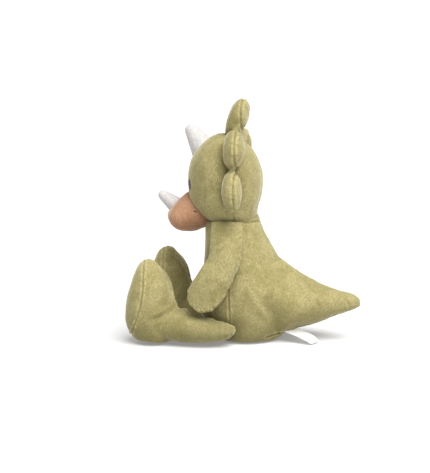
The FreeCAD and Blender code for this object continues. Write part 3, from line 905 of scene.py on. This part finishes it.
# %% [markdown]
# ## Frill
# The frill is two scalloped panels sewn together round the edge, filled lobe by lobe and sewn upright
# into the head's side seam. Each lobe starts as a box that is rounded off. A thin disc joins them behind the
# head, and the inflation makes the lobes plump while the edge seam stays short.

# %% Frill form
TOP_LOBE = 90
WEB_RADIUS = 53 * MM
WEB_HALF_THICKNESS = 5.4 * MM
WEB_CUT = 31 * MM
LOBES = (
    # direction, distance, half length, half width, half thickness, forward shift, lean
    (-15, 51.0, 21.5, 23.0, 12.2, 0.0, 0), (33, 51.0, 22.0, 22.5, 13.0, -1.0, 0),
    (TOP_LOBE, 57.0, 24.0, 23.0, 12.5, 2.0, 16),
    (147, 50.5, 21.0, 22.0, 10.8, 3.0, 0), (195, 50.5, 21.0, 23.0, 11.0, 2.0, 0))


def build_frill():
    parts = []
    centre = Vector((0, frill_y, head.low.z + 0.47 * head.size.z))
    for angle, distance, long, wide, thick, forward, lean in LOBES:
        turn = math.radians(angle)
        out = Vector((math.cos(turn), 0, math.sin(turn)))
        place = centre + out * distance * MM - Vector((0, forward * MM, 0))
        bpy.ops.object.select_all(action="DESELECT")
        bpy.ops.mesh.primitive_cube_add(size=2, location=place)
        lobe = bpy.context.object
        lobe.scale = (long * MM, thick * MM, wide * MM)
        lobe.rotation_euler = (0, -turn, 0)
        if angle == TOP_LOBE:
            lobe.rotation_euler.rotate_axis("Z", math.radians(lean))
        settle(lobe)
        rounder = lobe.modifiers.new("rounder", "SUBSURF")
        rounder.levels = 4
        rounder.render_levels = 4
        apply_all(lobe)
        parts.append(lobe)
    bpy.ops.object.select_all(action="DESELECT")
    bpy.ops.mesh.primitive_uv_sphere_add(segments=40, ring_count=20, radius=1, location=centre)
    web = bpy.context.object
    web.scale = (WEB_RADIUS, WEB_HALF_THICKNESS, WEB_RADIUS)
    settle(web)
    bpy.ops.object.mode_set(mode="EDIT")
    bpy.ops.mesh.select_all(action="SELECT")
    bpy.ops.mesh.bisect(plane_co=centre - Vector((0, 0, WEB_CUT)), plane_no=(0, 0, 1),
                        clear_inner=True, use_fill=True)
    bpy.ops.object.mode_set(mode="OBJECT")
    parts.append(web)
    piece = joined("frill", parts)
    skin_over(piece, 1.8 * MM, 2)
    return piece


frill_piece = build_frill()
seams = [wall((0, frill_y + 4.2 * MM, 0), (0, 1, 0))]
inflate(frill_piece, seams, pressure=5.0, shrink=0.05, reach=2.6 * MM)
refine(frill_piece)
soften_surface(frill_piece, 14 * MM, 0.7 * MM, 19)
sew(frill_piece, seams, depth=1.1 * MM, gather=0.8 * MM, seed=71)
dress(frill_piece, green_plush)
print("frill faces", len(frill_piece.data.polygons))


# %% [markdown]
# ## Embroidery
# The eyes and the mouth are satin stitch: threads laid close together over the fabric. The thread is
# near black with a soft gloss, and a fine banded pattern shows where one thread lies against the next.

# %% Satin thread
def satin_material():
    material, nodes, links = fresh_material("black_thread")
    shader = nodes["Principled BSDF"]
    coordinates = mapped(nodes, links)
    threads = nodes.new("ShaderNodeTexWave")
    threads.bands_direction = "Z"
    threads.inputs["Scale"].default_value = 480
    threads.inputs["Distortion"].default_value = 1.2
    links.new(coordinates, threads.inputs["Vector"])
    slubs = noise_node(nodes, links, coordinates, 700, 2)
    colour = colour_mix(nodes, links, threads.outputs["Fac"], (0.008, 0.008, 0.010), (0.030, 0.030, 0.036))
    colour = colour_mix(nodes, links, slubs, colour, (0.045, 0.043, 0.045), 0.3)
    links.new(colour, shader.inputs["Base Color"])
    shader.inputs["Roughness"].default_value = 0.42
    shader.inputs["Sheen Weight"].default_value = 0.1
    bump = nodes.new("ShaderNodeBump")
    bump.inputs["Strength"].default_value = 0.6
    bump.inputs["Distance"].default_value = 0.15 * MM
    links.new(threads.outputs["Fac"], bump.inputs["Height"])
    links.new(bump.outputs["Normal"], shader.inputs["Normal"])
    return material


# %% [markdown]
# A patch starts as a ball. Each of its points is laid on the nearest place of the skin below and lifted
# by its own height, so the front becomes a low dome, the back sinks in, and both follow the head's curve.
# Narrow ridges stand for the threads.

# %% Satin patches
THREAD_PITCH = 0.32 * MM
THREAD_RIDGE = 0.10 * MM


def satin_patch(name, host, middle, across, up, half_across, half_up, height):
    bpy.ops.object.select_all(action="DESELECT")
    bpy.ops.mesh.primitive_uv_sphere_add(segments=64, ring_count=32, radius=1)
    piece = bpy.context.object
    piece.name = name
    placed = []
    for u, w, v in points_of(piece):
        spot = middle + across * u * half_across + up * v * half_up
        _, place, normal, _ = host.closest_point_on_mesh(spot)
        ridge = THREAD_RIDGE * math.cos(v * half_up / THREAD_PITCH * math.pi) if w > 0.1 else 0
        placed.append(place + normal * (w * height + ridge * w))
    put_points(piece, np.array(placed))
    only(piece)
    bpy.ops.object.mode_set(mode="EDIT")
    bpy.ops.mesh.select_all(action="SELECT")
    bpy.ops.mesh.normals_make_consistent(inside=False)
    bpy.ops.object.mode_set(mode="OBJECT")
    bpy.ops.object.shade_smooth()
    dress(piece, black_thread)
    return piece


black_thread = satin_material()
eye_box = Box("eye_left")
mouth_box = Box("mouth_stitches")
eye_left = satin_patch("eye_left_satin", head_piece, eye_box.middle + at_mm(1.3, 0, -0.5),
                       Vector((1, 0, 0)), Vector((0, 0, 1)),
                       eye_box.size.x / 2, 0.47 * eye_box.size.z, 0.9 * MM)
eye_right = mirrored_copy(eye_left, "eye_right_satin")
mouth_corner = Vector((mouth_box.high.x, mouth_box.middle.y, mouth_box.middle.z))
mouth_left = satin_patch("mouth_satin", muzzle_piece, mouth_corner + at_mm(0, 1.4, 1.7),
                         Vector((0, 0.94, -0.34)), Vector((0, 0.34, 0.94)), 1.9 * MM, 0.6 * MM, 0.5 * MM)
mouth = joined("mouth_satin", [mouth_left, mirrored_copy(mouth_left, "mouth_right")])
print("eye width and height, mm", eye_box.size.x / MM, eye_box.size.z / MM)


# %% [markdown]
# ## Label
# A blank ribbon label is sewn into the seam under the seat. It hangs out aslant, twists a little and
# comes down flat at its free end. It is a grid whose two short edges are set, with a soft arch between.

# %% Ribbon
WARP_SCALE = 34
WEFT_SCALE = 60
RIBBON_THICKNESS = 0.35 * MM


def ribbon_material():
    material, nodes, links = fresh_material("label_ribbon")
    shader = nodes["Principled BSDF"]
    place = nodes.new("ShaderNodeTexCoord").outputs["UV"]
    weave = []
    for direction, scale in (("X", WARP_SCALE), ("Y", WEFT_SCALE)):
        yarn = nodes.new("ShaderNodeTexWave")
        yarn.bands_direction = direction
        yarn.inputs["Scale"].default_value = scale
        yarn.inputs["Distortion"].default_value = 0.6
        links.new(place, yarn.inputs["Vector"])
        weave.append(yarn.outputs["Fac"])
    soft = noise_node(nodes, links, place, 6, 3)
    colour = colour_mix(nodes, links, weave[0], (0.74, 0.735, 0.72), (0.82, 0.815, 0.80))
    colour = colour_mix(nodes, links, weave[1], colour, (0.66, 0.655, 0.64), 0.25)
    colour = colour_mix(nodes, links, soft, colour, (0.80, 0.78, 0.74), 0.3)
    links.new(colour, shader.inputs["Base Color"])
    shader.inputs["Roughness"].default_value = 0.5
    shader.inputs["Sheen Weight"].default_value = 0.2
    bump = nodes.new("ShaderNodeBump")
    bump.inputs["Strength"].default_value = 0.4
    bump.inputs["Distance"].default_value = 0.08 * MM
    links.new(weave[0], bump.inputs["Height"])
    links.new(bump.outputs["Normal"], shader.inputs["Normal"])
    return material


# %% [markdown]
# Each point of the grid gets its place from two shares: across the ribbon, and down it from the sewn edge.
# The sewn edge is tucked a little way into the body.

# %% Ribbon label
def build_label():
    root = (at_mm(21.2, 38.2, 11.0), at_mm(14.0, 52.6, 12.3))
    end = (at_mm(30, 66, 1.2), at_mm(17.3, 73, 1.2))
    bpy.ops.object.select_all(action="DESELECT")
    bpy.ops.mesh.primitive_grid_add(x_subdivisions=16, y_subdivisions=30, size=2, location=(0, 0, 0))
    piece = bpy.context.object
    piece.name = "ribbon_label"
    placed = []
    for x, y, _ in points_of(piece):
        side, down = (x + 1) / 2, (y + 1) / 2
        first = root[0].lerp(root[1], side)
        last = end[0].lerp(end[1], side)
        point = first.lerp(last, down)
        arch = 1.5 * math.sin(math.pi * down) - 0.5 * math.sin(2 * math.pi * down)
        point.z += arch * MM * (0.6 + 0.5 * side)
        point.z += 0.5 * MM * side * down * down
        placed.append(point)
    put_points(piece, np.array(placed))
    only(piece)
    ribbon = piece.modifiers.new("ribbon", "SOLIDIFY")
    ribbon.thickness = RIBBON_THICKNESS
    ribbon.offset = 0
    apply_all(piece)
    bpy.ops.object.shade_smooth()
    dress(piece, ribbon_material())
    return piece


label_piece = build_label()
print("label faces", len(label_piece.data.polygons))


# %% [markdown]
# ## Painted shade in the corners
# Shade is painted into the pile where two pieces lie close together. The body gets painted shade beside
# the arms, the thighs and the head, the head beside the frill and the arms, and the muzzle beside the head.

# %% Painted shade in the corners
shade_near(body, arm_left, 6 * MM, 0.75)
shade_near(body, leg_left, 8 * MM, 0.85)
shade_near(body, head_piece, 3.5 * MM, 0.6)
shade_near(head_piece, frill_piece, 4 * MM, 0.6)
shade_near(head_piece, arm_left, 4 * MM, 0.6)
shade_near(muzzle_piece, head_piece, 2.5 * MM, 0.55)


# %% [markdown]
# ## Riding
# The legs, the label and all that is on the head follow the frame's bodies and ride as they are. The body,
# whose skin crosses the crease at the tail's root, and the arms, whose tops are sewn to the body, are baked
# in place and follow no body.

# %% Bodies
def declare(piece, body_name, fill, *nodes):
    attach(piece, body_name)
    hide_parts(*nodes)


def limb_nodes(limb, side, *parts):
    return ["%s_%s_%s" % (limb, side, part) for part in parts]


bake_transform(body)
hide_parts("belly_panel", "seat_panel", "body_side_left", "body_side_right", "body_stuffing",
            "pellet_bag", "bean_pellets", "neck_stuffing",
            "tail_side_left", "tail_side_right", "tail_stuffing")
for side, leg_piece, arm_piece in (("left", leg_left, arm_left), ("right", leg_right, arm_right)):
    declare(leg_piece, "leg_" + side, 0.85, *limb_nodes("leg", side, "outer", "inner", "sole", "stuffing"))
    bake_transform(arm_piece)
    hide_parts(*limb_nodes("arm", side, "outer", "inner", "stuffing"))
declare(head_piece, "head", 0.95, "head_face_left", "head_face_right",
        "head_back_left", "head_back_right", "head_stuffing")
declare(muzzle_piece, "head", 0.9, "muzzle_skin", "muzzle_stuffing")
declare(brow_horn, "head", 0.9, "brow_horn_skin", "brow_horn_stuffing")
declare(nose_horn, "head", 0.9, "nose_horn_skin", "nose_horn_stuffing")
declare(frill_piece, "head", 0.85, "frill_front", "frill_back", "frill_stuffing")
for piece, body_name, node in ((eye_left, "head", "eye_left"), (eye_right, "head", "eye_right"),
                               (mouth, "head", "mouth_stitches"), (label_piece, "label", "sewn_label")):
    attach(piece, body_name)
    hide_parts(node)


# %% [markdown]
# ## Studio
# A wide pale floor under a white sky, with one large soft light from above.

# %% Floor, sky and lamp
FLOOR_SIZE = 12
FLOOR_DROP = -0.0005
FLOOR_GREY = (0.60, 0.60, 0.60)
FLOOR_GLOW = 0.22
SKY_LIGHT = 0.42
SKY_SEEN = 1.05
LAMP_STRENGTH = 4.9
LAMP_SPREAD = 50
LAMP_SIDE = (0.50, 0.38, 0.95)


def studio():
    bpy.ops.object.select_all(action="DESELECT")
    bpy.ops.mesh.primitive_plane_add(size=FLOOR_SIZE, location=(0, 0, FLOOR_DROP))
    floor = bpy.context.object
    floor.name = "studio_floor"
    material, nodes, links = fresh_material("studio_white")
    shader = nodes["Principled BSDF"]
    shader.inputs["Base Color"].default_value = (*FLOOR_GREY, 1)
    shader.inputs["Roughness"].default_value = 0.7
    shader.inputs["Specular IOR Level"].default_value = 0.2
    shader.inputs["Emission Color"].default_value = (1, 1, 1, 1)
    shader.inputs["Emission Strength"].default_value = FLOOR_GLOW
    floor.data.materials.append(material)
    world = bpy.data.worlds.new("studio_sky")
    bpy.context.scene.world = world
    world.use_nodes = True
    nodes, links = world.node_tree.nodes, world.node_tree.links
    sky = nodes["Background"]
    sky.inputs["Color"].default_value = (1.0, 1.0, 1.0, 1)
    # The sky lights softly, but is white where it is seen directly.
    seen = nodes.new("ShaderNodeLightPath")
    strength = nodes.new("ShaderNodeMapRange")
    strength.inputs["To Min"].default_value = SKY_LIGHT
    strength.inputs["To Max"].default_value = SKY_SEEN
    links.new(seen.outputs["Is Camera Ray"], strength.inputs["Value"])
    links.new(strength.outputs["Result"], sky.inputs["Strength"])
    lamp = bpy.data.lights.new("overhead", "SUN")
    lamp.energy = LAMP_STRENGTH
    lamp.angle = math.radians(LAMP_SPREAD)
    holder = bpy.data.objects.new("overhead", lamp)
    bpy.context.collection.objects.link(holder)
    holder.location = (0.35, 0.35, 1.3)
    holder.rotation_euler = Vector(LAMP_SIDE).to_track_quat("Z", "Y").to_euler()


# %% [markdown]
# The camera looks from the toy's left side, a little behind it and a little above, with a long lens.

# %% Camera
CAMERA_TURN = 100
CAMERA_LIFT = 8
CAMERA_DISTANCE = 1.1
CAMERA_AIM = (0, -0.034, 0.100)
LENS = 92.1
SENSOR_WIDTH = 36


def place_camera():
    turn = math.radians(CAMERA_TURN)
    lift = math.radians(CAMERA_LIFT)
    back = Vector((math.sin(turn) * math.cos(lift), -math.cos(turn) * math.cos(lift), math.sin(lift)))
    camera = bpy.data.cameras.new("camera")
    camera.sensor_fit = "HORIZONTAL"
    camera.sensor_width = SENSOR_WIDTH
    camera.lens = LENS
    camera.clip_start = 0.05
    holder = bpy.data.objects.new("camera", camera)
    bpy.context.collection.objects.link(holder)
    holder.location = Vector(CAMERA_AIM) + back * CAMERA_DISTANCE
    holder.rotation_euler = back.to_track_quat("Z", "Y").to_euler()
    bpy.context.scene.camera = holder
    print("camera at", holder.location[:])


studio()
place_camera()
bpy.context.scene.view_settings.view_transform = "Standard"
